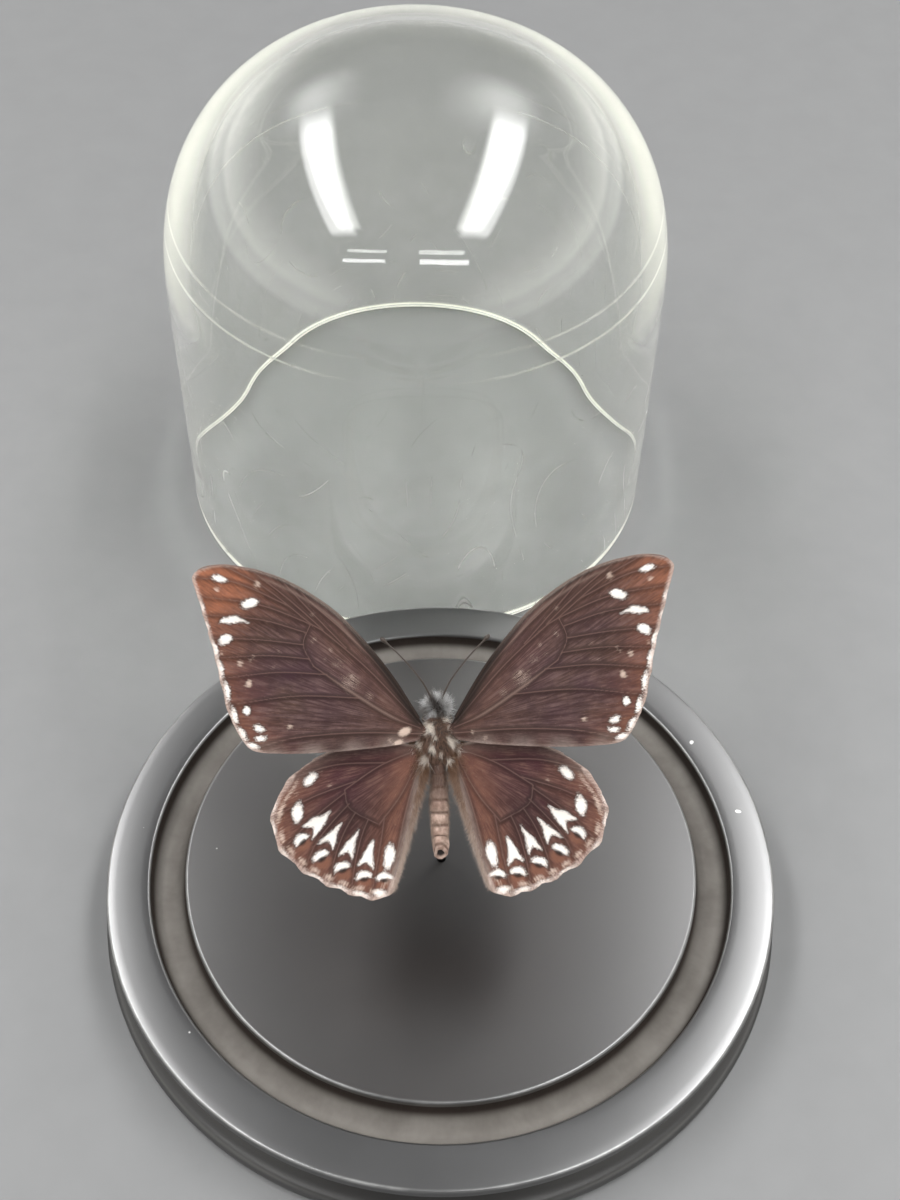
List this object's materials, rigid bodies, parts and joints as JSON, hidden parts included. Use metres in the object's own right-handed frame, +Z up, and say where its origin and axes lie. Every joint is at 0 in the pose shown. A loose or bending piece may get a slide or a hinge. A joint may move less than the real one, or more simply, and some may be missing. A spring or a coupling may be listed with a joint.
{
  "type": "insect in glass dome",
  "caption": "Set brown and white butterfly on a slim pin above a turned black base, with its clear glass dome lifted off and standing behind.",
  "frame": {"origin": "centre of the base's flat underside", "axes": "+Z up out of the base, +Y from the front of the base towards the dome that stands behind it, +X to the insect's right as seen from the front"},
  "size_m": [0.1326, 0.2438, 0.112],
  "materials": {
    "lacquered_wood": "turned wood under black satin lacquer, dusty in the groove",
    "dome_glass": "clear blown glass, faintly green at the edge",
    "pin_steel": "blackened steel wire",
    "insect_body": "dry and hairy, dark with pale dots, abdomen tan",
    "wing_scales": "matt scales, chocolate brown with white spots"
  },
  "bodies": {
    "root": {"base": "lacquered_wood", "dome": "dome_glass", "mounting_pin": "pin_steel", "thorax": "insect_body", "head": "insect_body", "abdomen": "insect_body", "forewing_left": "wing_scales", "forewing_right": "wing_scales", "hindwing_left": "wing_scales", "hindwing_right": "wing_scales", "antenna_left": "insect_body", "antenna_right": "insect_body"}
  },
  "joints": []
}
